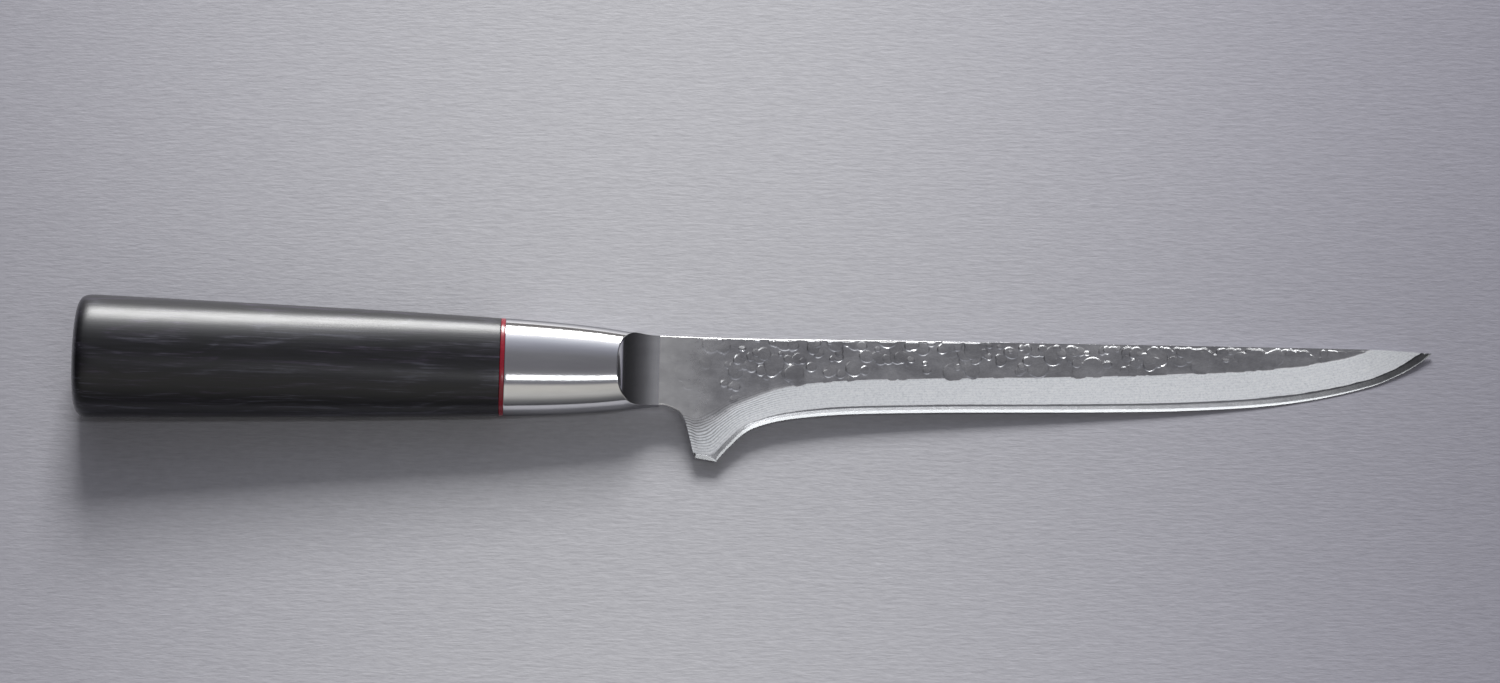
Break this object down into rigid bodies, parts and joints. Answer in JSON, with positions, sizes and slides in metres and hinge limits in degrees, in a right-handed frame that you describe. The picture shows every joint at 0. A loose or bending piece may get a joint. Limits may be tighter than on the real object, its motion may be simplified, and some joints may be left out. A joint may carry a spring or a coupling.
{
  "type": "boning knife",
  "caption": "Slim boning knife with a layered, hammered steel blade, a hollow-ground steel bolster, a thin red spacer and a tapered dark laminated wood handle.",
  "frame": {"origin": "under the middle of the knife's length and height, at the level of the handle's lowest point, with the knife lying on its left side", "axes": "+X from the butt to the point, +Y from the cutting edge to the spine, +Z out of the blade's right face"},
  "size_m": [0.3042, 0.0344, 0.02],
  "materials": {
    "laminated_wood": "black resin-laminated wood, buffed to a soft gloss",
    "red_spacer": "red fibre sheet, ground flush and buffed",
    "polished_steel": "mirror-polished stainless steel",
    "core_steel": "fine lengthwise ground hard steel",
    "clad_steel": "layered steel, hammered above the grind line and satin etched below it",
    "tang_steel": "mill finish stainless bar",
    "potting": "cured epoxy"
  },
  "bodies": {
    "root": {"handle_block": "laminated_wood", "spacer_ring": "red_spacer", "bolster": "polished_steel", "blade_core": "core_steel", "cladding_right": "clad_steel", "cladding_left": "clad_steel", "tang_bar": "tang_steel", "tang_epoxy": "potting"}
  },
  "joints": []
}
